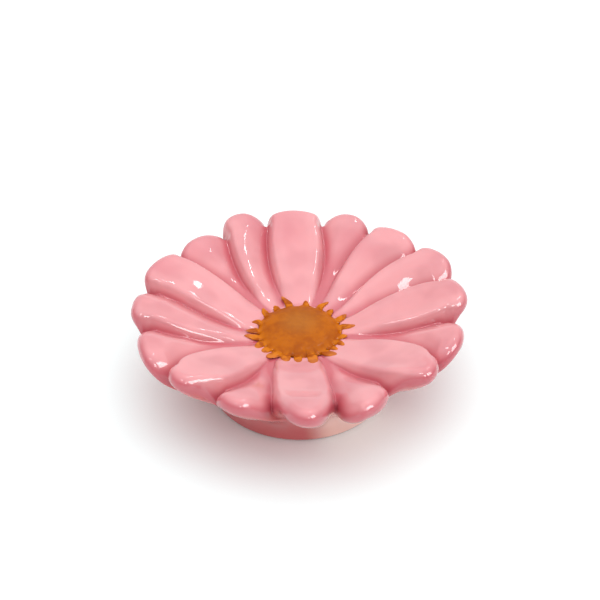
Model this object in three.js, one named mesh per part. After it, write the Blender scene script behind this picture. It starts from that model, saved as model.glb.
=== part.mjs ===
// Glazed ceramic gerbera: a small table ornament. One open flower head of sixteen
// petals is cast in one piece with its round foot, and a pad of amber glaze with a
// fringe of stamens lies on its middle.
// Millimetres, +Z up. The origin is the middle of the foot, on the table, and the
// front is -Y. Directions are degrees anticlockwise from +X, seen from above.

import * as THREE from 'three';

// ---- Driving dimensions of the flower ----

const flowerRadius = 31;        // axis to the tip of a petal whose reach is 0
const rimHeight = 16.6;          // table to the widest line of the petal tips
const edgeRound = 2.1;          // radius of the rolled upper edge of the petals
const edgeUnder = 3.6;          // drop over which the edge turns under its widest line
const dishDrop = 4;             // petal roots below the widest line of the tips
const dishCurve = 1.15;         // 1 makes a straight-sided dish, more a rounder one
const rootRadius = 8;           // where the petals start, around the pad
const seatDrop = 0.6;           // flat seat of the pad below the petal roots
const seatMargin = 0.4;         // width of the slope from the seat up to the petal roots
const footRadius = 16.6;
const footRise = 7;             // height over which the foot stands nearly upright
const footRound = 0.8;          // rounding of the foot's lower edge
const grooveRootDepth = 0.3;    // the grooves between the petals: depth at the roots,
const grooveDepth = 1.6;        // and half-way along
const hollowDepth = 0.35;       // spoon-shaped hollow behind each tip
const hollowInset = 6;          // from the tip to the middle of the hollow
const hollowRadius = 3.2;

// One row for each petal, anticlockwise, with the groove on its clockwise side.
//   root, middle, rim   direction of that groove at the three radii in grooveRadii
//   notch               how far the groove's outer end falls short of flowerRadius
//   depth               depth of the groove at its outer end
//   tip                 direction of the petal's tip
//   reach               tip beyond flowerRadius
//   lift                crest above the common dish: the higher petal laps the lower
const grooveRadii = [10, 18, 27];
const petals = [
  { root: -9, middle: -6, rim: -2, notch: 4.0, depth: 2.0, tip: 7, reach: 0.1, lift: 0.5 },
  { root: 24, middle: 26, rim: 19, notch: 2.4, depth: 1.2, tip: 28, reach: 0.6, lift: 0.0 },
  { root: 42, middle: 46, rim: 40, notch: 2.1, depth: 1.0, tip: 50, reach: -0.3, lift: 0.3 },
  { root: 64, middle: 66, rim: 62, notch: 2.7, depth: 1.0, tip: 71, reach: 0.2, lift: -0.3 },
  { root: 74, middle: 78, rim: 82, notch: 2.3, depth: 1.2, tip: 93, reach: -0.6, lift: 0.4 },
  { root: 110, middle: 108, rim: 103, notch: 2.3, depth: 1.0, tip: 113, reach: 0.4, lift: 0.2 },
  { root: 134, middle: 128, rim: 121, notch: 2.9, depth: 1.0, tip: 133, reach: -0.9, lift: -0.4 },
  { root: 138, middle: 138, rim: 143, notch: 2.9, depth: 1.2, tip: 158, reach: -0.3, lift: 0.4 },
  { root: 180, middle: 169, rim: 166, notch: 2.7, depth: 1.6, tip: 180, reach: -0.2, lift: 0.1 },
  { root: 201, middle: 194, rim: 187, notch: 3.0, depth: 2.2, tip: 206, reach: -0.1, lift: -0.4 },
  { root: 205, middle: 205, rim: 214, notch: 3.9, depth: 2.6, tip: 223, reach: -0.8, lift: 0.4 },
  { root: 238, middle: 239, rim: 232, notch: 6.6, depth: 3.0, tip: 246, reach: -2.2, lift: -0.2 },
  { root: 243, middle: 254, rim: 259, notch: 8.7, depth: 3.0, tip: 273, reach: 0.4, lift: 0.5 },
  { root: 295, middle: 289, rim: 285, notch: 8.5, depth: 3.0, tip: 292, reach: -0.9, lift: -0.3 },
  { root: 300, middle: 307, rim: 313, notch: 8.0, depth: 3.0, tip: 322, reach: -0.9, lift: 0.4 },
  { root: 346, middle: 344, rim: 333, notch: 3.9, depth: 2.4, tip: 344, reach: -0.4, lift: -0.3 },
];
const lobeFullness = 2.1;       // 2 makes elliptical petal tips, more makes squarer ones
const lobeShoulder = 0.62;      // 0.5 makes elliptical petal tips, more makes pointed ones
const shallowNotch = 3.5;       // petals between notches deeper than this are narrower,
const lobeNarrowing = 0.1;      // by so much more shoulder for each millimetre
const lappingEdge = 3.4;        // steepness of a petal's side where it laps its neighbour
const lappedEdge = 1.6;         // and where it dips under its neighbour
const liftLength = 8;           // a petal rises to its lift over this length from its root

// ---- Driving dimensions of the pad ----

const padRise = 1.6;            // top of the pad above its seat
const padMargin = 0.4;          // pad's edge inside the petal roots
const padSlope = 0.5;           // width over which the pad's underside rises off its seat
const padClearance = 0.15;      // between the stamens and the petals beneath them
const stamenWidth = 1.1;
const stamenHeight = 0.5;
const stamenEdge = 0.2;         // height of the stamens' thin outer edge
// Direction of each stamen, and how far its tip reaches beyond the petal roots.
const stamens = [
  [7, 2.2], [23, 1.3], [44, 0.6], [61, 1.8], [81, 0.7], [104, 2.3], [123, 0.8], [142, 1.3],
  [162, 1.0], [181, 1.6], [196, 2.1], [210, 1.5], [224, 1.2], [238, 1.6], [252, 1.4], [267, 1.4],
  [286, 2.3], [307, 1.9], [320, 1.1], [333, 1.3], [347, 0.9],
];
const padFullness = 6;          // 2 makes the pad's top a half ellipse, more makes it flatter

// ---- Fineness of the meshes ----

const columnsPerPetal = 8;
const petalRows = 9;
const rollRows = 4;
const underRows = 8;
const footRows = 3;
const padRows = 4;
const padUnderRows = 3;
const padMiddleShare = 0.7;     // the pad's middle, as a share of its radius, has no rows
const stamenShares = [0, 0.5, 0.85, 1.05];  // columns, as shares of half a stamen's width

// ---- Small helpers ----

const radians = (degrees) => degrees * Math.PI / 180;
const mix = (from, to, share) => from + (to - from) * share;
const clamp = (value, low, high) => Math.min(high, Math.max(low, value));
const smooth = (value) => {
  const t = clamp(value, 0, 1);
  return t * t * (3 - 2 * t);
};

// A lathe-turned blank whose every point is then moved to where place(column, row)
// says. Rows run from the top pole to the bottom pole. The blank's own columns run
// clockwise, and the places are numbered anticlockwise.
function shapedBlank(columns, rows, place) {
  const profile = [];
  for (let row = 0; row < rows; row += 1) {
    const angle = Math.PI * row / (rows - 1);
    profile.push(new THREE.Vector2(Math.sin(angle), Math.cos(angle)));
  }
  const blank = new THREE.LatheGeometry(profile, columns);
  const points = blank.getAttribute('position');
  for (let column = 0; column <= columns; column += 1) {
    for (let row = 0; row < rows; row += 1) {
      const { radius, direction, height } = place((columns - column) % columns, row);
      const x = radius * Math.cos(radians(direction));
      const y = radius * Math.sin(radians(direction));
      points.setXYZ(column * rows + row, x, y, height);
    }
  }
  blank.computeVertexNormals();
  return blank;
}

// ---- The flower ----

// Direction of a petal's groove at a radius: the parabola through its three directions.
function grooveDirection(petal, radius) {
  const [near, halfway, far] = grooveRadii;
  const r = clamp(radius, near, far);
  const first = (r - halfway) * (r - far) / ((near - halfway) * (near - far));
  const second = (r - near) * (r - far) / ((halfway - near) * (halfway - far));
  const third = (r - near) * (r - halfway) / ((far - near) * (far - halfway));
  return petal.root * first + petal.middle * second + petal.rim * third;
}

// One column of the flower runs from the middle over the rim and down to the foot, and
// keeps one share of its petal's width, from 0 at a groove to 1 at the next.
function petalColumn(place, step) {
  const petal = petals[place];
  const share = (1 - Math.cos(Math.PI * step / columnsPerPetal)) / 2;
  const before = petals[(place + petals.length - 1) % petals.length];
  const after = petals[(place + 1) % petals.length];
  const turn = place === petals.length - 1 ? 360 : 0;
  const evenly = 360 * (place + step / columnsPerPetal) / petals.length;

  const direction = (radius) => mix(
    grooveDirection(petal, radius), grooveDirection(after, radius) + turn, share);
  const tipShare = (petal.tip - petal.rim) / (after.rim + turn - petal.rim);
  const offTip = share < tipShare ? (tipShare - share) / tipShare
    : (share - tipShare) / (1 - tipShare);
  const notchRadius = flowerRadius - mix(petal.notch, after.notch, share);
  const tipRadius = flowerRadius + petal.reach;
  const deeper = Math.max(0, (petal.notch + after.notch) / 2 - shallowNotch);
  const lobe = (1 - offTip ** lobeFullness) ** (lobeShoulder + lobeNarrowing * deeper);
  return {
    petal, share, evenly, direction, tipRadius,
    neighbour: share < 0.5 ? before : after,
    rimDepth: mix(petal.depth, after.depth, share),
    outline: mix(notchRadius, tipRadius, lobe),
  };
}

// Height of the petals' crests at a radius: the dish, plus the petal's own lift.
function crestHeight(radius, lift) {
  const along = Math.max(0, radius - rootRadius) / (flowerRadius - rootRadius);
  const rise = (dishDrop + edgeRound) * along ** dishCurve;
  return rimHeight - dishDrop + rise + lift * smooth((radius - rootRadius) / liftLength);
}

// Depth of the grooves below the dish at a radius.
function grooveDepthAt(column, radius) {
  const along = (radius - rootRadius) / (flowerRadius - rootRadius);
  if (along < 0.5) {
    return mix(grooveRootDepth, grooveDepth, smooth(along * 2));
  }
  return mix(grooveDepth, column.rimDepth, smooth(along * 2 - 1));
}

const flowerColumns = petals.flatMap((petal, place) => (
  Array.from({ length: columnsPerPetal }, (unused, step) => petalColumn(place, step))));

const pointAt = (radius, direction) => new THREE.Vector3(
  radius * Math.cos(radians(direction)), radius * Math.sin(radians(direction)), 0);

// The flower's outline seen from above, as the lines that join its columns' outer ends.
const outlineLines = flowerColumns.map((column, index) => {
  const next = flowerColumns[(index + 1) % flowerColumns.length];
  return new THREE.Line3(
    pointAt(column.outline, column.direction(column.outline)),
    pointAt(next.outline, next.direction(next.outline)));
});

// Distance from a point of a column to the nearest part of the outline, seen from above.
function distanceFromOutline(column, radius) {
  const point = pointAt(radius, column.direction(radius));
  const nearest = new THREE.Vector3();
  return Math.min(...outlineLines.map((line) => (
    line.closestPointToPoint(point, true, nearest).distanceTo(point))));
}

// Height of the upper surface: a crowned petal between two grooves, hollowed like a
// spoon behind its tip and rolled over at the outline.
function upperHeight(column, radius) {
  const { petal, neighbour, share } = column;
  const floor = crestHeight(radius, 0) - grooveDepthAt(column, radius);
  const steepness = petal.lift > neighbour.lift ? lappingEdge : lappedEdge;
  const crown = 1 - Math.abs(2 * share - 1) ** steepness;
  const fromHollow = (radius - (column.tipRadius - hollowInset)) / hollowRadius;
  const hollow = hollowDepth * Math.exp(-(fromHollow ** 2));
  const distance = Math.min(edgeRound, distanceFromOutline(column, radius));
  const roll = edgeRound - Math.sqrt(edgeRound ** 2 - (edgeRound - distance) ** 2);
  return mix(floor, crestHeight(radius, petal.lift) - hollow, crown) - roll;
}

const seatHeight = rimHeight - dishDrop - seatDrop;
const seatRadius = rootRadius - seatMargin;

// Radii and heights down one column, from the top pole to the bottom pole.
function petalProfile(column) {
  const stations = [];
  const rollStart = column.outline - edgeRound;
  for (let row = 0; row < petalRows; row += 1) {
    const radius = mix(rootRadius, rollStart, row / petalRows);
    stations.push({ radius, height: upperHeight(column, radius) });
  }
  for (let row = 0; row <= rollRows; row += 1) {
    const radius = rollStart + edgeRound * Math.sin(Math.PI / 2 * row / rollRows);
    stations.push({ radius, height: upperHeight(column, radius) });
  }

  const widest = stations[stations.length - 1];
  const underside = new THREE.CubicBezierCurve(
    new THREE.Vector2(widest.radius, widest.height),
    new THREE.Vector2(widest.radius, widest.height - edgeUnder),
    new THREE.Vector2(footRadius, footRound + footRise),
    new THREE.Vector2(footRadius, footRound));
  for (let row = 1; row <= underRows; row += 1) {
    const point = underside.getPoint(row / underRows);
    stations.push({ radius: point.x, height: point.y, under: row / underRows });
  }
  for (let row = 1; row <= footRows; row += 1) {
    const angle = Math.PI / 2 * row / footRows;
    stations.push({
      radius: footRadius - footRound * (1 - Math.cos(angle)),
      height: footRound * (1 - Math.sin(angle)),
      under: 1,
    });
  }
  return [
    { radius: 0, height: seatHeight },
    { radius: seatRadius / 2, height: seatHeight },
    { radius: seatRadius, height: seatHeight },
    ...stations,
    { radius: footRadius / 2, height: 0, under: 1 },
    { radius: 0, height: 0, under: 1 },
  ];
}

// On top the columns follow the grooves, and they draw level towards the middle. Below,
// they start where they crossed the rim and draw level towards the foot.
function flowerBody() {
  const columns = flowerColumns.map((column) => (
    { ...column, profile: petalProfile(column) }));
  const rows = columns[0].profile.length;
  return shapedBlank(columns.length, rows, (index, row) => {
    const column = columns[index];
    const { radius, height, under } = column.profile[row];
    const followed = under === undefined ? column.direction(radius)
      : column.direction(column.outline);
    const level = under === undefined ? 1 - smooth(radius / rootRadius) : smooth(under);
    return { radius, height, direction: mix(followed, column.evenly, level) };
  });
}

// ---- The pad and its stamens ----

// Columns of the pad, as shares of the way from one stamen's middle to the next: three
// shape each stamen's rounded side, and one runs down the gap between two stamens.
function padColumns() {
  const columns = [];
  stamens.forEach(([direction, reach], index) => {
    const [nextDirection, nextReach] = stamens[(index + 1) % stamens.length];
    const gap = (nextDirection - direction + 360) % 360;
    const halfStamen = stamenWidth / 2 / radians(1) / rootRadius;
    const offsets = stamenShares.map((share) => share * halfStamen);
    offsets.forEach((offset) => {
      columns.push({ direction: direction + offset, reach, offset: offset / halfStamen });
    });
    columns.push({ direction: direction + gap / 2, reach, offset: gap / 2 / halfStamen });
    offsets.slice(1).reverse().forEach((offset) => {
      const fromNext = direction + gap - offset;
      columns.push({ direction: fromNext, reach: nextReach, offset: offset / halfStamen });
    });
  });
  return columns;
}

const highestLift = Math.max(...petals.map((petal) => petal.lift));
const padRadius = rootRadius - padMargin;

// The pad's underside lies flat on the seat, then rises and clears the petals.
function padUnderside(radius) {
  const flat = padRadius - padSlope;
  const clear = crestHeight(radius, highestLift) + padClearance;
  return mix(seatHeight, clear, clamp((radius - flat) / (rootRadius - flat), 0, 1));
}

// The pad's top is a low dome. Each stamen is a rounded finger laid from it over the petals.
function padTop(column, radius, outline) {
  const inside = clamp(radius / padRadius, 0, 1);
  const dome = seatHeight + padRise * Math.sqrt(1 - inside ** padFullness);
  const start = padRadius / 2;
  const along = clamp((radius - start) / (outline - start), 0, 1);
  const across = clamp(column.offset, 0, 1);
  const round = Math.sqrt(Math.max(0, 1 - across ** 2)) * Math.sqrt(1 - along ** padFullness);
  const finger = padUnderside(radius) + mix(stamenEdge, stamenHeight, round);
  return Math.max(dome, finger);
}

function flowerPad() {
  const columns = padColumns().map((column) => {
    const finger = Math.sqrt(Math.max(0, 1 - column.offset ** 2));
    const outline = mix(padRadius, rootRadius + column.reach, finger);
    const flat = padRadius - padSlope;
    const stations = [{ radius: 0, height: seatHeight + padRise }];
    for (let row = 0; row <= padRows; row += 1) {
      const turned = Math.sin(Math.PI / 2 * row / padRows);
      const radius = mix(padRadius * padMiddleShare, outline, turned);
      stations.push({ radius, height: padTop(column, radius, outline) });
    }
    for (let row = 1; row <= padUnderRows; row += 1) {
      const radius = mix(outline, flat, row / padUnderRows);
      stations.push({ radius, height: padUnderside(radius) });
    }
    stations.push({ radius: 0, height: seatHeight });
    return { ...column, stations };
  });
  return shapedBlank(columns.length, columns[0].stations.length, (index, row) => ({
    ...columns[index].stations[row], direction: columns[index].direction,
  }));
}

// ---- The ornament ----

const pinkGlaze = new THREE.MeshStandardMaterial({
  color: 0xf0a3a9, roughness: 0.12, metalness: 0,
});
const amberGlaze = new THREE.MeshStandardMaterial({
  color: 0xc66c1e, roughness: 0.15, metalness: 0,
});

function named(name, geometry, material) {
  const mesh = new THREE.Mesh(geometry, material);
  mesh.name = name;
  return mesh;
}

const ornament = new THREE.Group();
ornament.add(named('flower_body', flowerBody(), pinkGlaze));
ornament.add(named('flower_centre', flowerPad(), amberGlaze));

export default ornament;
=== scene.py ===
"""Looks of the glazed ceramic gerbera: one cast flower on its round foot, glazed pink, and
the pad of amber glaze with its stamens. Sizes are millimetres until a mesh is made."""
import math

import bpy
import numpy as np
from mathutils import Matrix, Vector


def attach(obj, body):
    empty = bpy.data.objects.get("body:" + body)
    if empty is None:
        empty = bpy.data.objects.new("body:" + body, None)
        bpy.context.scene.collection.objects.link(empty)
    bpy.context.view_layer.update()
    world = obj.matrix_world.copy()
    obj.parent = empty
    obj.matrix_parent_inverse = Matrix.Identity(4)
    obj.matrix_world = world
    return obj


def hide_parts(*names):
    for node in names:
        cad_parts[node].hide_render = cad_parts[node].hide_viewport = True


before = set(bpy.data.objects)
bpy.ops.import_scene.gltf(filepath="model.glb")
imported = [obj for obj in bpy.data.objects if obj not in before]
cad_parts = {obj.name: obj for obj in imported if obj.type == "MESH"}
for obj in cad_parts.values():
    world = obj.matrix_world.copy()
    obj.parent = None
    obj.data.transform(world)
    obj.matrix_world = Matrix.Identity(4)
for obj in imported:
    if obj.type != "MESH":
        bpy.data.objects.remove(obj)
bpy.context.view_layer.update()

MM = 0.001

# ---- Sizes of the flower, as in the CAD part ----

FLOWER_RADIUS = 31.0      # axis to the tip of a petal whose reach is 0
RIM_HEIGHT = 16.6         # table to the widest line of the petal tips
EDGE_ROUND = 2.1          # radius of the rolled upper edge of the petals
EDGE_UNDER = 3.6          # drop over which the edge turns under its widest line
DISH_DROP = 4.0           # petal roots below the widest line of the tips
DISH_CURVE = 1.15         # 1 would be a cone; more bends the dish upwards
ROOT_RADIUS = 8.0         # axis to the roots of the petals
SEAT_DROP = 0.6           # the pad's seat below the petal roots
SEAT_MARGIN = 0.4         # the seat's edge inside the roots
SEAT_HEIGHT = RIM_HEIGHT - DISH_DROP - SEAT_DROP
SEAT_RADIUS = ROOT_RADIUS - SEAT_MARGIN
FOOT_RADIUS = 16.6
FOOT_RISE = 7.0           # rise over which the side leaves the foot upright
FOOT_ROUND = 0.8          # radius of the foot's lower edge
GROOVE_ROOT_DEPTH = 0.3   # depth of the grooves between the petals at the roots
GROOVE_DEPTH = 1.6        # and half-way along
LOBE_FULLNESS = 2.1       # how far round its tip a petal stays broad
LOBE_SHOULDER = 0.62      # how round its corners are: less is squarer
SHALLOW_NOTCH = 3.5       # petals between notches deeper than this are narrower,
LOBE_NARROWING = 0.1      # by so much more shoulder for each millimetre
LIFT_LENGTH = 8.0         # a crest gains its lift over this length from the roots
GROOVE_RADII = (10.0, 18.0, 27.0)

# One row for each petal, anticlockwise: the directions of the groove on its clockwise side
# at the three radii above, how far that groove's outer end falls short of the flower's
# radius, its depth there, the direction of the tip, its reach beyond the radius, and the
# crest's lift. The groove before the tip at 93 degrees and the crests of the petals at 28
# and 50 degrees differ a little from the CAD part's.
PETALS = np.array([
    (-9, -6, -2, 4.0, 2.0, 7, 0.1, 0.5),
    (24, 26, 19, 2.4, 1.2, 28, 0.6, 0.2),
    (42, 46, 40, 2.1, 1.0, 50, -0.3, 0.1),
    (64, 66, 62, 2.7, 1.0, 71, 0.2, -0.3),
    (72, 75, 81, 2.3, 1.2, 93, -0.6, 0.4),
    (110, 108, 103, 2.3, 1.0, 113, 0.4, 0.2),
    (134, 128, 121, 2.9, 1.0, 133, -0.9, -0.4),
    (138, 138, 143, 2.9, 1.2, 158, -0.3, 0.4),
    (180, 169, 166, 2.7, 1.6, 180, -0.2, 0.1),
    (201, 194, 187, 3.0, 2.2, 206, -0.1, -0.4),
    (205, 205, 214, 3.9, 2.6, 223, -0.8, 0.4),
    (238, 239, 232, 6.6, 3.0, 246, -2.2, -0.2),
    (243, 254, 259, 8.7, 3.0, 273, 0.4, 0.5),
    (295, 289, 285, 8.5, 3.0, 292, -0.9, -0.3),
    (300, 307, 313, 8.0, 3.0, 322, -0.9, 0.4),
    (346, 344, 333, 3.9, 2.4, 344, -0.4, -0.3),
], float)
ROOT, MIDDLE, RIM, NOTCH, DEPTH, TIP, REACH, LIFT = range(8)

# ---- Relief of the petals ----

# How a petal's side rises from its groove: the width over which it rises, and the
# fullness of its shoulder, where it laps its neighbour and where it dips under.
LAPPING_WIDTH, LAPPING_FULLNESS = 1.5, 2.9
LAPPED_WIDTH, LAPPED_FULLNESS = 4.2, 1.8
GROOVE_FILLET = 0.28      # the glaze rounds the bottom of each groove
SWELL_HEIGHT = 0.3        # the petals swell a little behind their tips, so that the ends
SWELL_INSET = 5.5         # droop towards the rolled edge
SWELL_RADIUS = 3.5
PETAL_CROWN = 0.36        # a petal's middle stands above its sides
LIP_HEIGHT = 0.08         # a lapping petal's side stands up as a faint lip,
LIP_INSET = 1.7           # so far from its groove
LIP_WIDTH = 1.3
# The pale band inside the outline is a painted sheen, partly thin glaze.
RIM_LIP_INSET = 0.8 * EDGE_ROUND   # the glaze also pales so far inside the outline,
RIM_LIP_SHARE = 0.6                # by this share of a lip's paleness
CROWN_LENGTH = 5.0        # crowns and lips grow over this length from the roots,
WAVE_FADE = 3.0           # and the unevenness over this one
WAVE_HEIGHT = 0.045       # unevenness left by the hand that pressed the petals,
WAVE_LENGTH = 9.0         # as waves of about this length
WAVE_SEED = 11

# ---- Sizes of the pad ----

PAD_RISE = 1.6            # top of the dome above its seat
PAD_MARGIN = 0.4          # the dome's foot inside the petal roots
PAD_SLOPE = 0.5           # and the edge of the pad's flat underside inside that
PAD_EDGE = ROOT_RADIUS - PAD_MARGIN
PAD_FLAT = PAD_EDGE - PAD_SLOPE
PAD_CLEARANCE = 0.03      # between the petal roots and the stamens laid over them
PAD_WAVES = ((0.15, 5, 1), (0.1, 13, 2))   # height, number and phase of its edge's waves
DOME_FULLNESS = 5
DOME_SHOULDER = 0.6
BLEND = 0.25              # softness of the join between the dome and its stamens
BUBBLE_HEIGHT = 0.03      # unevenness of the poured glaze,
BUBBLE_LENGTH = 2.2       # as waves of about this length,
BUBBLE_FADE = 4           # fading out towards the tips
BUBBLE_SEED = 5

# Direction of each stamen, how far its tip reaches beyond the petal roots, its width, how
# far its tip leans round the pad, in degrees, and how pointed it is: 1 is a thorn and 0.4 a
# blunt drip.
STAMENS = np.array([
    (7, 2.5, 1.15, -3, 0.8), (23, 1.7, 1.1, 3, 0.6), (44, 0.7, 1.2, 0, 0.9),
    (61, 1.7, 1.0, -5, 0.9), (81, 0.8, 1.0, 2, 0.9), (104, 2.1, 1.1, 5, 0.9),
    (123, 0.6, 1.2, 0, 0.9), (142, 1.3, 1.1, -5, 0.8), (162, 1.1, 1.1, 5, 0.7),
    (181, 1.8, 1.2, 2, 0.8), (196, 2.3, 1.2, -4, 0.7), (210, 1.8, 1.2, 4, 0.45),
    (224, 1.6, 1.15, 1, 0.4), (239, 2.2, 1.2, -4, 0.35), (252, 1.8, 1.35, 3, 0.35),
    (268, 1.8, 1.1, 1, 0.4), (287, 2.8, 1.25, -3, 0.35), (306, 2.4, 1.15, 5, 0.45),
    (320, 1.2, 1.1, 0, 0.7), (334, 1.6, 1.1, -4, 0.7), (347, 1.0, 1.2, 2, 0.8),
], float)
TOWARDS, REACHES, WIDE, LEANS, POINTED = range(5)
STAMEN_HEIGHT = 0.36      # thickness along a stamen's middle
STAMEN_EDGE = 0.06        # and at its edge
STAMEN_WAIST = 0.6        # its width is taken this far beyond the dome's foot,
STAMEN_SPREAD = 0.75      # where this share of it lies either side of the middle
STAMEN_SIDES = 1.8        # fullness of its sides
STAMEN_SINK = 0.2         # its sides meet the pad this far inside the wavy edge
STAMEN_BLUNTNESS = 12     # how late along it the tip turns down
LEAN_LENGTH = 2.0         # it leans over this length from the dome's foot
THIN_START, THIN_LENGTH = -1.6, 2.4   # where the glaze runs thin, from the dome's foot,
TIPS_START, TIPS_LENGTH = 0.5, 2.0    # and where it turns sheer

# ---- Fineness of the meshes ----

COLUMNS_PER_PETAL = 40
COLUMN_CROWDING = 0.7     # 0 spaces the columns evenly, 1 crowds them most at the grooves
SEAT_SHARES = (0, 0.5, 1) # rows over the seat, as shares of its radius
PETAL_ROWS = 84
ROLL_ROWS = 16
SIDE_ROWS = 30
FOOT_ROWS = 6
BASE_SHARES = (0.5, 0)    # rows over the flat base, as shares of the foot's radius
PAD_COLUMNS = 900
PAD_TOP_ROWS = 44
PAD_UNDER_ROWS = 8

# ---- Camera and studio ----

CAMERA_AIM = Vector((0.12 * MM, 3.91 * MM, RIM_HEIGHT * MM))
CAMERA_DISTANCE = 0.4     # metres
CAMERA_ELEVATION = 38.18  # degrees above the table
CAMERA_FRAME = 36         # width in mm
CAMERA_LENS = 130.3       # focal length in mm
CAMERA_CLIP = 0.01, 10    # metres
FLOOR_HALF = 8.0          # metres
SOFTBOX_DISTANCE = 0.7    # metres
TENT_HEAD = (0.08, -0.04, 1)   # the tent is brightest this way, nearly overhead

# Each softbox's name, its azimuth anticlockwise from +X and its elevation, its width and
# height as seen from the flower, all in degrees, and its radiance. The two window panes and
# the near box glint on the noses, the two boxes behind draw streaks down the far petals and
# the front strip along those at the sides, and the far wall sheens the nearest ones.
SOFTBOXES = (
    ("window_pane_near", -48, 35, 18, 30, 10),
    ("window_pane_far", -25, 35, 18, 30, 10),
    ("far_wall", 90, 14, 100, 24, 0.7),
    ("back_box", 61, 51.8, 2.2, 4.4, 20),
    ("high_back_box", 56, 63, 4, 8, 14),
    ("front_strip", -119, 63, 13, 8, 11),
    ("near_box", -80, 34, 9, 13, 12),
)


def mix(low, high, share):
    """low where share is 0, high where it is 1, and in between in proportion."""
    return low + (high - low) * share


def smooth(value):
    """3t^2 - 2t^3, with t the value held between 0 and 1."""
    t = np.clip(value, 0, 1)
    return t * t * (3 - 2 * t)


def waves(x, y, seed, length, count=7):
    """A sum of plane waves of about the given length, with seeded directions and phases,
    scaled so that it mostly stays between -1 and 1."""
    rng = np.random.default_rng(seed)
    total = np.zeros_like(x)
    for _ in range(count):
        heading, phase = rng.uniform(0, 2 * np.pi, 2)
        k = 2 * np.pi / (length * rng.uniform(0.7, 1.5))
        total += np.sin(k * (x * np.cos(heading) + y * np.sin(heading)) + phase)
    return total / count ** 0.5


# ---- The flower ----

def groove_direction(rows, radius):
    """Direction of the groove on the clockwise side of each petal in rows, at a radius:
    the parabola through its directions at the three groove radii."""
    near, halfway, far = GROOVE_RADII
    r = np.clip(radius, near, far)
    first = (r - halfway) * (r - far) / ((near - halfway) * (near - far))
    second = (r - near) * (r - far) / ((halfway - near) * (halfway - far))
    third = (r - near) * (r - halfway) / ((far - near) * (far - halfway))
    return rows[:, ROOT] * first + rows[:, MIDDLE] * second + rows[:, RIM] * third


def flower_columns():
    """The columns of the flower's grid. A column keeps one share of its petal's width, from
    0 at a groove to 1 at the next: share = t - crowding * sin(2 pi t) / 2 pi, which crowds
    the columns together towards the grooves. A petal's outline runs from its notches to
    its tip as (1 - u^fullness)^shoulder, with u how far off its tip a column is."""
    index = np.arange(len(PETALS) * COLUMNS_PER_PETAL)
    place = index // COLUMNS_PER_PETAL
    even = index % COLUMNS_PER_PETAL / COLUMNS_PER_PETAL
    share = even - COLUMN_CROWDING * np.sin(2 * np.pi * even) / (2 * np.pi)
    here = PETALS[place]
    after = PETALS[(place + 1) % len(PETALS)].copy()
    after[place == len(PETALS) - 1, ROOT:RIM + 1] += 360
    before = PETALS[place - 1]
    tip_share = (here[:, TIP] - here[:, RIM]) / (after[:, RIM] - here[:, RIM])
    off_tip = np.where(share < tip_share, (tip_share - share) / tip_share,
                       (share - tip_share) / (1 - tip_share))
    notch = FLOWER_RADIUS - mix(here[:, NOTCH], after[:, NOTCH], share)
    tip = FLOWER_RADIUS + here[:, REACH]
    deeper = np.maximum(0, (here[:, NOTCH] + after[:, NOTCH]) / 2 - SHALLOW_NOTCH)
    lobe = (1 - off_tip ** LOBE_FULLNESS) ** (LOBE_SHOULDER + LOBE_NARROWING * deeper)
    return {
        "here": here, "after": after, "share": share, "tip": tip,
        "outline": mix(notch, tip, lobe), "even": 360 * index / len(index),
        "lift": here[:, LIFT], "rim_depth": mix(here[:, DEPTH], after[:, DEPTH], share),
        "laps_before": here[:, LIFT] > before[:, LIFT],
        "laps_after": here[:, LIFT] > after[:, LIFT],
    }


def crest_height(radius, lift):
    """The dish, root height + rise * along^curve, plus the petal's own lift."""
    along = np.maximum(0, radius - ROOT_RADIUS) / (FLOWER_RADIUS - ROOT_RADIUS)
    rise = (DISH_DROP + EDGE_ROUND) * along ** DISH_CURVE
    return RIM_HEIGHT - DISH_DROP + rise + lift * smooth((radius - ROOT_RADIUS) / LIFT_LENGTH)


def groove_depth_at(radius, rim_depth):
    """Depth of the grooves below the dish: shallow at the roots, then deeper by smooth
    steps half-way along and at the rim."""
    along = (radius - ROOT_RADIUS) / (FLOWER_RADIUS - ROOT_RADIUS)
    inner = mix(GROOVE_ROOT_DEPTH, GROOVE_DEPTH, smooth(along * 2))
    outer = mix(GROOVE_DEPTH, rim_depth, smooth(along * 2 - 1))
    return np.where(along < 0.5, inner, outer)


def side_rise(distance, laps):
    """How far a petal's side has risen at a distance from its groove, from 0 to 1:
    1 - (1 - d/width)^fullness, where d starts as a small round fillet."""
    width = np.where(laps, LAPPING_WIDTH, LAPPED_WIDTH)
    fullness = np.where(laps, LAPPING_FULLNESS, LAPPED_FULLNESS)
    d = distance ** 2 / (distance + GROOVE_FILLET)
    return 1 - (1 - np.clip(d / width, 0, 1)) ** fullness


def lip_share(distance, laps):
    """1 on the top of a lapping petal's lip and 0 away from it: e^-((d - inset)/width)^2."""
    return np.where(laps, np.exp(-((distance - LIP_INSET) / LIP_WIDTH) ** 2), 0)


def from_outline(c, x, y):
    """Distance of each point of the grid from the nearest part of the petals' outline, seen
    from above. The outline is the ring of straight lines between the columns' ends."""
    ends = np.radians(mix(groove_direction(c["here"], c["outline"]),
                          groove_direction(c["after"], c["outline"]), c["share"]))
    start = np.stack([c["outline"] * np.cos(ends), c["outline"] * np.sin(ends)], -1)
    along = np.roll(start, -1, 0) - start
    length = (along ** 2).sum(-1)
    nearest = np.empty_like(x)
    for row in range(len(x)):      # every row against every line at once would fill memory
        away = np.stack([x[row], y[row]], -1)[:, None] - start[None]
        share = np.clip((away * along).sum(-1) / length, 0, 1)
        nearest[row] = np.linalg.norm(away - share[..., None] * along, axis=-1).min(1)
    return nearest


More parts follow.
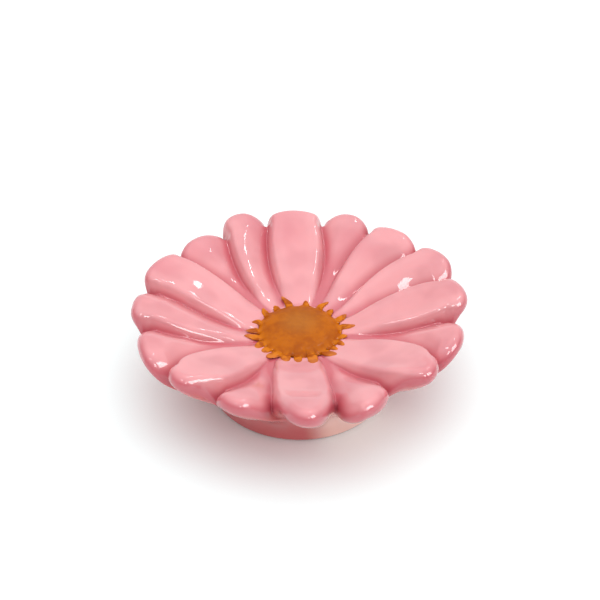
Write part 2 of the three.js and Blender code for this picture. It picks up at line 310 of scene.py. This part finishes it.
def upper_surface(c, radius):
    """Height of the upper surface, and its direction, closeness to a crest, and share of lip
    there, with the band of painted sheen and thin glaze inside the outline added: petals with a
    parabolic crown between grooves, a swell e^-((r - s)/width)^2 behind each tip, and rolled
    over at the outline by a quarter circle."""
    clockwise = groove_direction(c["here"], radius)
    anticlockwise = groove_direction(c["after"], radius)
    direction = mix(clockwise, anticlockwise, c["share"])
    width = radius * np.radians(anticlockwise - clockwise)
    from_before, from_after = c["share"] * width, (1 - c["share"]) * width
    crest = side_rise(from_before, c["laps_before"]) * side_rise(from_after, c["laps_after"])
    outward = smooth((radius - ROOT_RADIUS) / CROWN_LENGTH)
    lip = outward * (lip_share(from_before, c["laps_before"])
                     + lip_share(from_after, c["laps_after"]))
    x = radius * np.cos(np.radians(direction))
    y = radius * np.sin(np.radians(direction))
    swell = SWELL_HEIGHT * np.exp(-((radius - c["tip"] + SWELL_INSET) / SWELL_RADIUS) ** 2)
    crown = PETAL_CROWN * (1 - (2 * c["share"] - 1) ** 2) - PETAL_CROWN / 2
    rough = WAVE_HEIGHT * waves(x, y, WAVE_SEED, WAVE_LENGTH)
    rough *= smooth((radius - ROOT_RADIUS) / WAVE_FADE)
    floor = crest_height(radius, 0) - groove_depth_at(radius, c["rim_depth"])
    top = crest_height(radius, c["lift"]) + swell + crown * outward + LIP_HEIGHT * lip
    distance = np.minimum(EDGE_ROUND, from_outline(c, x, y))
    roll = EDGE_ROUND - np.sqrt(EDGE_ROUND ** 2 - (EDGE_ROUND - distance) ** 2)
    height = mix(floor, top + rough, crest) - roll
    # A painted sheen, partly thin glaze, pales a band just inside the outline.
    rim_thin_and_sheen = np.exp(-((distance - RIM_LIP_INSET) / EDGE_ROUND) ** 2) * RIM_LIP_SHARE
    return height, direction, crest, np.clip(lip + rim_thin_and_sheen, 0, 1)


def seat_rows(c):
    """Radii and directions of the rows from the middle of the pad's seat to its edge, evenly
    spaced round the middle and drawn into line with the petals towards the edge."""
    radius = np.array(SEAT_SHARES)[:, None] * SEAT_RADIUS * np.ones_like(c["share"])
    direction = mix(groove_direction(c["here"], ROOT_RADIUS),
                    groove_direction(c["after"], ROOT_RADIUS), c["share"])
    return radius, mix(direction, c["even"], 1 - smooth(radius / ROOT_RADIUS))


def petal_rows(c):
    """Radii of the rows from the petal roots to the rolled edge and round it, by equal turns
    of its quarter circle, and how far each row has turned over, from 0 to 1."""
    roll_start = c["outline"] - EDGE_ROUND
    share = np.arange(PETAL_ROWS)[:, None] / PETAL_ROWS
    turn = np.arange(ROLL_ROWS + 1)[:, None] / ROLL_ROWS
    radius = np.concatenate([mix(ROOT_RADIUS, roll_start, share),
                             roll_start + EDGE_ROUND * np.sin(np.pi / 2 * turn)])
    return radius, np.concatenate([np.zeros_like(share), turn])


def side_rows(rim_radius, rim_height):
    """Radii and heights of the rows from the widest line down to the foot's lower edge, and
    their share of the way: the cubic Bezier curve whose two inner points stand straight
    below the rim and straight above the foot's edge, so that both its ends are upright."""
    t = np.arange(1, SIDE_ROWS + 1)[:, None] / SIDE_ROWS
    b0, b1, b2, b3 = (1 - t) ** 3, 3 * t * (1 - t) ** 2, 3 * t ** 2 * (1 - t), t ** 3
    radius = (b0 + b1) * rim_radius + (b2 + b3) * FOOT_RADIUS
    height = (b0 * rim_height + b1 * (rim_height - EDGE_UNDER)
              + b2 * (FOOT_ROUND + FOOT_RISE) + b3 * FOOT_ROUND)
    return radius, height, t


def foot_rows(c):
    """Radii and heights of the rows round the foot's lower edge, a quarter circle, and over
    the flat base to its middle."""
    angle = np.pi / 2 * np.arange(1, FOOT_ROWS + 1) / FOOT_ROWS
    base_radius = FOOT_RADIUS * np.array(BASE_SHARES)
    radius = np.concatenate([FOOT_RADIUS - FOOT_ROUND * (1 - np.cos(angle)), base_radius])
    height = np.concatenate([FOOT_ROUND * (1 - np.sin(angle)), np.zeros_like(base_radius)])
    ones = np.ones_like(c["share"])
    return radius[:, None] * ones, height[:, None] * ones


def flower_grid():
    """Radii, directions, heights and attributes of the flower's grid. Its rows run from the
    middle of the seat over the petals and down the side to the middle of the base. The
    attributes are how deep in a groove a point lies, where glaze pools and shade is painted,
    how far it lies on a lip or on the band of painted sheen inside the outline, how far it has
    turned over the rim, and how far it is down the side, each from 0 to 1."""
    c = flower_columns()
    seat_radius, seat_direction = seat_rows(c)
    petal_radius, turned = petal_rows(c)
    petal_height, petal_direction, crest, lip = upper_surface(c, petal_radius)
    side_radius, side_height, down = side_rows(petal_radius[-1], petal_height[-1])
    side_direction = mix(petal_direction[-1], c["even"], smooth(down))
    foot_radius, foot_height = foot_rows(c)
    parts = seat_radius, petal_radius, side_radius, foot_radius

    def joined(*values):
        """One array for the whole grid, from the values on its four parts."""
        return np.concatenate([value * np.ones_like(part)
                               for value, part in zip(values, parts)])

    directions = joined(seat_direction, petal_direction, side_direction, c["even"])
    heights = joined(SEAT_HEIGHT, petal_height, side_height, foot_height)
    return np.concatenate(parts), np.radians(directions), heights, {
        "pool_and_shade": joined(0, 1 - crest, (1 - crest[-1]) * (1 - smooth(down)), 0),
        "lip": joined(0, lip, 0, 0),
        "turned": joined(0, turned, 1, 1),
        "under": joined(0, 0, down, 1)}


def closed_mesh(name, radii, angles, heights, attributes):
    """A grid of rows by columns closed round the axis, with its first and last rows drawn
    together into one point each, and one value for every point in each attribute."""
    rows, columns = radii.shape
    x, y = radii * np.cos(angles), radii * np.sin(angles)
    points = np.stack([x, y, heights], -1)[1:-1].reshape(-1, 3)
    poles = np.array([[0, 0, heights[0, 0]], [0, 0, heights[-1, 0]]])
    points = np.concatenate([points, poles]) * MM
    top, bottom = len(points) - 2, len(points) - 1
    row, column = np.meshgrid(np.arange(rows - 3), np.arange(columns), indexing="ij")
    across = (column + 1) % columns
    quads = np.stack([row * columns + column, (row + 1) * columns + column,
                      (row + 1) * columns + across, row * columns + across], -1).reshape(-1, 4)
    ring = np.arange(columns)
    last = (rows - 3) * columns
    upper_fan = np.stack([np.full(columns, top), ring, (ring + 1) % columns], -1)
    lower_fan = np.stack([np.full(columns, bottom), last + (ring + 1) % columns,
                          last + ring], -1)
    mesh = bpy.data.meshes.new(name)
    mesh.from_pydata(points.tolist(), [], quads.tolist() + upper_fan.tolist()
                     + lower_fan.tolist())
    mesh.polygons.foreach_set("use_smooth", np.ones(len(mesh.polygons), bool))
    for key, value in attributes.items():
        values = np.concatenate([value[1:-1].ravel(), value[0, :1], value[-1, :1]])
        layer = mesh.attributes.new(key, "FLOAT", "POINT")
        layer.data.foreach_set("value", values.astype(np.float32))
    mesh.update()
    piece = bpy.data.objects.new(name, mesh)
    bpy.context.scene.collection.objects.link(piece)
    return piece


# ---- The pad and its stamens ----

def pad_outline(angle):
    """Outline of the pad at a direction: the farthest of the pad's own wavy edge and the
    stamens, whose sides draw in towards their tips as (1 - u^sides)^pointed, with u how far
    off its middle a direction is. Also gives how central on its stamen each direction is,
    and how far it leans."""
    wavy = sum((high * np.sin(count * angle + phase) for high, count, phase in PAD_WAVES),
               PAD_EDGE)
    middle = np.radians(STAMENS[:, TOWARDS])[:, None]
    off = (angle[None] - middle + np.pi) % (2 * np.pi) - np.pi
    half_width = STAMENS[:, WIDE, None] * STAMEN_SPREAD
    across = np.clip(np.abs(off) * (PAD_EDGE + STAMEN_WAIST) / half_width, 0, 1)
    stamen = (1 - across ** STAMEN_SIDES) ** STAMENS[:, POINTED, None]
    reach = mix(wavy[None] - STAMEN_SINK, ROOT_RADIUS + STAMENS[:, REACHES, None], stamen)
    which = reach.argmax(0)
    column = np.arange(len(angle))
    outline = np.maximum(wavy, reach[which, column])
    central = stamen[which, column]
    return outline, central, np.radians(STAMENS[which, LEANS]) * central


def pad_underside(radius):
    """Height of the pad's underside: flat on the seat, then up over the petal roots, whose
    highest crest it clears."""
    clear = crest_height(radius, PETALS[:, LIFT].max()) + PAD_CLEARANCE
    climbed = np.clip((radius - PAD_FLAT) / (ROOT_RADIUS - PAD_FLAT), 0, 1)
    return mix(SEAT_HEIGHT, clear, climbed)


def pad_grid():
    """Radii, directions, heights and attributes of the pad's grid. Its rows run from the top
    of the low dome, seat + rise * (1 - (r/edge)^fullness)^shoulder, out along the stamens
    and back under them to the seat. The upper of dome and stamen is taken, with the join
    softened by softness * ln(1 + e^-gap). The attributes are how far the glaze runs thin,
    and how far it is sheer at the tips, from 0 to 1."""
    angle = 2 * np.pi * np.arange(PAD_COLUMNS) / PAD_COLUMNS
    outline, central, lean = pad_outline(angle)
    t = np.arange(PAD_TOP_ROWS)[:, None] / (PAD_TOP_ROWS - 1)
    top_radius = outline * np.sin(np.pi / 2 * t)
    inside = np.clip(top_radius / PAD_EDGE, 0, 1)
    dome = SEAT_HEIGHT + PAD_RISE * (1 - inside ** DOME_FULLNESS) ** DOME_SHOULDER
    along = np.clip(top_radius / outline, 0, 1)
    turned_down = along ** STAMEN_BLUNTNESS
    round_end = np.clip(central, 0, 1) ** 0.5 * (1 - turned_down) ** 0.5
    stamen = pad_underside(top_radius) + mix(STAMEN_EDGE, STAMEN_HEIGHT, round_end)
    gap = np.abs(dome - stamen) / BLEND
    top_height = np.maximum(dome, stamen) + BLEND * np.log1p(np.exp(-gap))
    top_height -= BLEND * np.log(2) * turned_down
    bubbles = waves(top_radius * np.cos(angle), top_radius * np.sin(angle),
                    BUBBLE_SEED, BUBBLE_LENGTH)
    top_height += BUBBLE_HEIGHT * bubbles * (1 - along ** BUBBLE_FADE)
    back = np.arange(1, PAD_UNDER_ROWS + 1)[:, None] / PAD_UNDER_ROWS
    under_radius = mix(outline, PAD_FLAT, back)
    middle = np.zeros((1, PAD_COLUMNS))
    radii = np.concatenate([top_radius, under_radius, middle])
    heights = np.concatenate([top_height, pad_underside(under_radius), middle + SEAT_HEIGHT])
    past_foot = radii - PAD_EDGE
    return radii, angle + lean * smooth(past_foot / LEAN_LENGTH), heights, {
        "thin": smooth((past_foot - THIN_START) / THIN_LENGTH),
        "tips": smooth((past_foot - TIPS_START) / TIPS_LENGTH)}


# ---- Materials ----

SMOOTHSTEP = {"interpolation_type": "SMOOTHSTEP"}
OF_COLOURS = {"data_type": "RGBA"}
SHARE, FROM, TO, MIXED = 0, 6, 7, 2    # the colour sockets of a Mix node


def linear(code):
    """An sRGB hex colour as linear red, green, blue and alpha."""
    parts = [int(code[i:i + 2], 16) / 255 for i in (0, 2, 4)]
    return [p / 12.92 if p <= 0.04045 else ((p + 0.055) / 1.055) ** 2.4 for p in parts] + [1]


def node(tree, kind, settings=None, inputs=None):
    """Adds a node; an input is a value, or the output socket that feeds it."""
    made = tree.nodes.new(kind)
    for key, value in (settings or {}).items():
        setattr(made, key, value)
    for key, value in (inputs or {}).items():
        socket = made.inputs[key]
        if isinstance(value, bpy.types.NodeSocket):
            tree.links.new(value, socket)
        else:
            socket.default_value = value
    return made


def new_material(name):
    """An empty material and its node tree."""
    material = bpy.data.materials.new(name)
    material.use_nodes = True
    material.node_tree.nodes.clear()
    return material, material.node_tree


def pink_glaze():
    """Opaque pink glaze over white earthenware, dipped and fired glossy. It is darker in the
    grooves, where glaze pools and shade is painted, and has painted shade on the noses and
    under the petals. It is paler on the raised lips, where the glaze thins and a sheen is
    painted, has a patch of painted light on one side of the foot, and is mottled where it was
    poured."""
    material, tree = new_material("pink_earthenware_glaze")
    place = node(tree, "ShaderNodeTexCoord").outputs["Object"]
    pool_and_shade, lip, turned, under = (
        node(tree, "ShaderNodeAttribute", {"attribute_name": key}).outputs["Fac"]
        for key in ("pool_and_shade", "lip", "turned", "under"))

    # Blotches of thicker and thinner glaze, about 8 mm across, and a deeper blush in patches
    # of about 15 mm.
    clouds = node(tree, "ShaderNodeTexNoise", {}, {
        "Vector": place, "Scale": 1 / (8 * MM), "Detail": 2.0}).outputs["Fac"]
    blotch = node(tree, "ShaderNodeMapRange", SMOOTHSTEP, {
        "Value": clouds, "From Min": 0.38, "From Max": 0.66}).outputs[0]
    colour = node(tree, "ShaderNodeMix", OF_COLOURS, {
        SHARE: blotch, FROM: linear("DC8C91"), TO: linear("CD7A81")}).outputs[MIXED]
    patches = node(tree, "ShaderNodeTexNoise", {}, {
        "Vector": place, "Scale": 1 / (15 * MM), "Detail": 1.0}).outputs["Fac"]
    blush = node(tree, "ShaderNodeMapRange", SMOOTHSTEP, {
        "Value": patches, "From Min": 0.52, "From Max": 0.7, "To Max": 0.6}).outputs[0]
    colour = node(tree, "ShaderNodeMix", OF_COLOURS, {
        SHARE: blush, FROM: colour, TO: linear("CC6874")}).outputs[MIXED]

    # Pale on the lips from thin glaze and painted sheen; painted shade on the noses and below
    # the rim, and pooled glaze with painted shade in the grooves.
    thin = node(tree, "ShaderNodeMath", {"operation": "MULTIPLY"}, {
        0: lip, 1: 0.3}).outputs[0]
    colour = node(tree, "ShaderNodeMix", OF_COLOURS, {
        SHARE: thin, FROM: colour, TO: linear("E0A2A4")}).outputs[MIXED]
    # Painted shade on the noses, where the rim turns over and down.
    nose_shade = node(tree, "ShaderNodeMapRange", SMOOTHSTEP, {
        "Value": turned, "From Min": 0.12, "From Max": 0.9, "To Max": 0.8}).outputs[0]
    colour = node(tree, "ShaderNodeMix", OF_COLOURS, {
        SHARE: nose_shade, FROM: colour, TO: linear("C2525F")}).outputs[MIXED]
    # Pooled glaze and painted shade darken the grooves and the notches down the side.
    pooled_and_shaded = node(tree, "ShaderNodeMapRange", SMOOTHSTEP, {
        "Value": pool_and_shade, "From Min": 0.35, "From Max": 1.0, "To Max": 0.8}).outputs[0]
    colour = node(tree, "ShaderNodeMix", OF_COLOURS, {
        SHARE: pooled_and_shaded, FROM: colour, TO: linear("BA4856")}).outputs[MIXED]
    # Painted shade below the rim, deepening down the side and over the foot.
    lower = node(tree, "ShaderNodeMapRange", SMOOTHSTEP, {
        "Value": under, "From Max": 0.2, "To Max": 0.85}).outputs[0]
    colour = node(tree, "ShaderNodeMix", OF_COLOURS, {
        SHARE: lower, FROM: colour, TO: linear("C65B5A")}).outputs[MIXED]

    # A pale cream patch of painted light on one side of the foot, where the light from the
    # right falls on it.
    lit_foot_place = (11 * MM, -14 * MM, 3 * MM)
    away = node(tree, "ShaderNodeVectorMath", {"operation": "DISTANCE"}, {
        0: place, 1: lit_foot_place}).outputs["Value"]
    lit_foot_side = node(tree, "ShaderNodeMapRange", SMOOTHSTEP, {
        "Value": away, "From Min": 5 * MM, "From Max": 11 * MM, "To Min": 1.0,
        "To Max": 0.0}).outputs[0]
    low_down = node(tree, "ShaderNodeMapRange", SMOOTHSTEP, {
        "Value": under, "From Min": 0.35, "From Max": 0.7}).outputs[0]
    painted_foot_light = node(tree, "ShaderNodeMath", {"operation": "MULTIPLY"}, {
        0: lit_foot_side, 1: low_down}).outputs[0]
    colour = node(tree, "ShaderNodeMix", OF_COLOURS, {
        SHARE: painted_foot_light, FROM: colour, TO: linear("F4C2B7")}).outputs[MIXED]

    # The fired surface is faintly rippled, about every 2.2 mm.
    ripple = node(tree, "ShaderNodeTexNoise", {}, {
        "Vector": place, "Scale": 1 / (2.2 * MM), "Detail": 1.0}).outputs["Fac"]
    bump = node(tree, "ShaderNodeBump", {}, {
        "Strength": 0.02, "Distance": 0.2 * MM, "Height": ripple}).outputs[0]
    shader = node(tree, "ShaderNodeBsdfPrincipled", {"subsurface_method": "RANDOM_WALK"}, {
        "Base Color": colour, "Roughness": 0.35, "IOR": 1.5, "Normal": bump,
        "Specular IOR Level": 0.15, "Subsurface Weight": 0.1,
        "Subsurface Radius": (1.0, 0.35, 0.25), "Subsurface Scale": 0.8 * MM,
        "Coat Weight": 1.0, "Coat Roughness": 0.04, "Coat IOR": 1.5, "Coat Normal": bump})
    node(tree, "ShaderNodeOutputMaterial", {}, {"Surface": shader.outputs[0]})
    return material


def amber_glaze():
    """Thick amber glaze, poured on the middle before firing. It is brown where it is deep
    and clear orange where it runs thin along the stamens."""
    material, tree = new_material("amber_poured_glaze")
    place = node(tree, "ShaderNodeTexCoord").outputs["Object"]
    thin, tips = (
        node(tree, "ShaderNodeAttribute", {"attribute_name": key}).outputs["Fac"]
        for key in ("thin", "tips"))

    # Clouds of denser glaze, about 3 mm across.
    cloud = node(tree, "ShaderNodeTexNoise", {}, {
        "Vector": place, "Scale": 1 / (3 * MM), "Detail": 4.0, "Roughness": 0.6}).outputs["Fac"]
    density = node(tree, "ShaderNodeMapRange", SMOOTHSTEP, {
        "Value": cloud, "From Min": 0.35, "From Max": 0.65}).outputs[0]
    deep = node(tree, "ShaderNodeMix", OF_COLOURS, {
        SHARE: density, FROM: linear("B45F06"), TO: linear("9F4D05")}).outputs[MIXED]

    # A painted dull olive-brown reflection lies on the deepest glaze, just behind the middle.
    sheen_place = (0, 1.5 * MM, 14 * MM)
    from_sheen = node(tree, "ShaderNodeVectorMath", {"operation": "DISTANCE"}, {
        0: place, 1: sheen_place}).outputs["Value"]
    painted_sheen = node(tree, "ShaderNodeMapRange", SMOOTHSTEP, {
        "Value": from_sheen, "From Min": 1 * MM, "From Max": 5.5 * MM, "To Min": 0.55,
        "To Max": 0.0}).outputs[0]
    deep = node(tree, "ShaderNodeMix", OF_COLOURS, {
        SHARE: painted_sheen, FROM: deep, TO: linear("A8682A")}).outputs[MIXED]

    # Along the fringe it runs in streaks about 1.3 mm apart, and the stamens' ends are
    # brushed so thin that the pink shows through.
    runny = node(tree, "ShaderNodeTexNoise", {}, {
        "Vector": place, "Scale": 1 / (1.3 * MM), "Detail": 1.0}).outputs["Fac"]
    thickness = node(tree, "ShaderNodeMapRange", SMOOTHSTEP, {
        "Value": runny, "From Min": 0.4, "From Max": 0.62}).outputs[0]
    fringe = node(tree, "ShaderNodeMix", OF_COLOURS, {
        SHARE: thickness, FROM: linear("CB720C"), TO: linear("A34C04")}).outputs[MIXED]
    colour = node(tree, "ShaderNodeMix", OF_COLOURS, {
        SHARE: thin, FROM: deep, TO: fringe}).outputs[MIXED]
    sheer = node(tree, "ShaderNodeMath", {"operation": "MULTIPLY"}, {
        0: tips, 1: 0.6}).outputs[0]
    colour = node(tree, "ShaderNodeMix", OF_COLOURS, {
        SHARE: sheer, FROM: colour, TO: linear("C9743A")}).outputs[MIXED]

    bump = node(tree, "ShaderNodeBump", {}, {
        "Strength": 0.12, "Distance": 0.15 * MM, "Height": cloud}).outputs[0]
    shader = node(tree, "ShaderNodeBsdfPrincipled", {}, {
        "Base Color": colour, "Roughness": 0.4, "IOR": 1.5, "Normal": bump,
        "Specular IOR Level": 0.02, "Coat Weight": 0.15, "Coat Roughness": 0.1,
        "Coat IOR": 1.5, "Coat Normal": bump})
    node(tree, "ShaderNodeOutputMaterial", {}, {"Surface": shader.outputs[0]})
    return material


def studio_board():
    """White matt studio board, faintly satin, of a cool white that the flower's own pink
    glow turns towards grey in the shadows."""
    material, tree = new_material("white_studio_board")
    place = node(tree, "ShaderNodeTexCoord").outputs["Object"]
    # The board has a fine grain, 0.4 mm across.
    grain = node(tree, "ShaderNodeTexNoise", {}, {
        "Vector": place, "Scale": 1 / (0.4 * MM)}).outputs["Fac"]
    colour = node(tree, "ShaderNodeMix", OF_COLOURS, {
        SHARE: grain, FROM: linear("EEF8F8"), TO: linear("F1FBFB")}).outputs[MIXED]
    shader = node(tree, "ShaderNodeBsdfPrincipled", {}, {
        "Base Color": colour, "Roughness": 0.6})
    node(tree, "ShaderNodeOutputMaterial", {}, {"Surface": shader.outputs[0]})
    return material


# ---- Studio ----

def studio_floor():
    """The board that the flower stands on, a square whose top is the table."""
    mesh = bpy.data.meshes.new("studio_floor")
    corners = [(-1, -1), (1, -1), (1, 1), (-1, 1)]
    mesh.from_pydata([(x * FLOOR_HALF, y * FLOOR_HALF, 0) for x, y in corners], [],
                     [(0, 1, 2, 3)])
    mesh.materials.append(studio_board())
    board = bpy.data.objects.new("studio_floor", mesh)
    bpy.context.scene.collection.objects.link(board)


def white_tent():
    """The world: a white tent that lights the flower and the table, brightest nearly
    overhead and dim low down all round."""
    world = bpy.data.worlds.new("white_tent")
    world.use_nodes = True
    tree = world.node_tree
    heading = node(tree, "ShaderNodeTexCoord").outputs["Generated"]
    towards = node(tree, "ShaderNodeVectorMath", {"operation": "DOT_PRODUCT"}, {
        0: heading, 1: TENT_HEAD}).outputs["Value"]
    glow = node(tree, "ShaderNodeMapRange", SMOOTHSTEP, {
        "Value": towards, "From Min": 0.15, "From Max": 0.95, "To Min": 0.3,
        "To Max": 1.88}).outputs[0]
    tree.links.new(glow, tree.nodes["Background"].inputs["Strength"])
    tree.nodes["Background"].inputs["Color"].default_value = (1, 1, 1, 1)
    bpy.context.scene.world = world


def softbox(name, azimuth, elevation, wide, high, radiance):
    """A rectangular softbox that faces the flower. A light of radiance L and area A gives out
    pi * L * A watts. It only makes highlights in the glaze: the tent lights the rest."""
    light = bpy.data.lights.new(name, "AREA")
    light.shape = "RECTANGLE"
    light.size = 2 * SOFTBOX_DISTANCE * math.tan(math.radians(wide) / 2)
    light.size_y = 2 * SOFTBOX_DISTANCE * math.tan(math.radians(high) / 2)
    light.energy = math.pi * radiance * light.size * light.size_y
    lamp = bpy.data.objects.new(name, light)
    bpy.context.scene.collection.objects.link(lamp)
    a, e = math.radians(azimuth), math.radians(elevation)
    away = Vector((math.cos(a) * math.cos(e), math.sin(a) * math.cos(e), math.sin(e)))
    lamp.location = Vector((0, 0, RIM_HEIGHT * MM)) + away * SOFTBOX_DISTANCE
    lamp.rotation_mode = "QUATERNION"
    lamp.rotation_quaternion = away.to_track_quat("Z", "Y")
    lamp.visible_diffuse = False


def camera():
    """The camera stands in front, along -Y, and looks down at the flower."""
    lens = bpy.data.cameras.new("camera")
    lens.sensor_width = CAMERA_FRAME
    lens.lens = CAMERA_LENS
    lens.clip_start, lens.clip_end = CAMERA_CLIP
    eye = bpy.data.objects.new("camera", lens)
    bpy.context.scene.collection.objects.link(eye)
    elevation = math.radians(CAMERA_ELEVATION)
    back = Vector((0, -math.cos(elevation), math.sin(elevation)))
    eye.location = CAMERA_AIM + back * CAMERA_DISTANCE
    eye.rotation_mode = "QUATERNION"
    eye.rotation_quaternion = back.to_track_quat("Z", "Y")
    bpy.context.scene.camera = eye


# ---- The scene ----

flower = closed_mesh("glazed_flower", *flower_grid())
flower.data.materials.append(pink_glaze())
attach(flower, "root")
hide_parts("flower_body")

pad = closed_mesh("amber_centre", *pad_grid())
pad.data.materials.append(amber_glaze())
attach(pad, "root")
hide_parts("flower_centre")

studio_floor()
white_tent()
for box in SOFTBOXES:
    softbox(*box)
camera()
bpy.context.scene.view_settings.view_transform = "Standard"
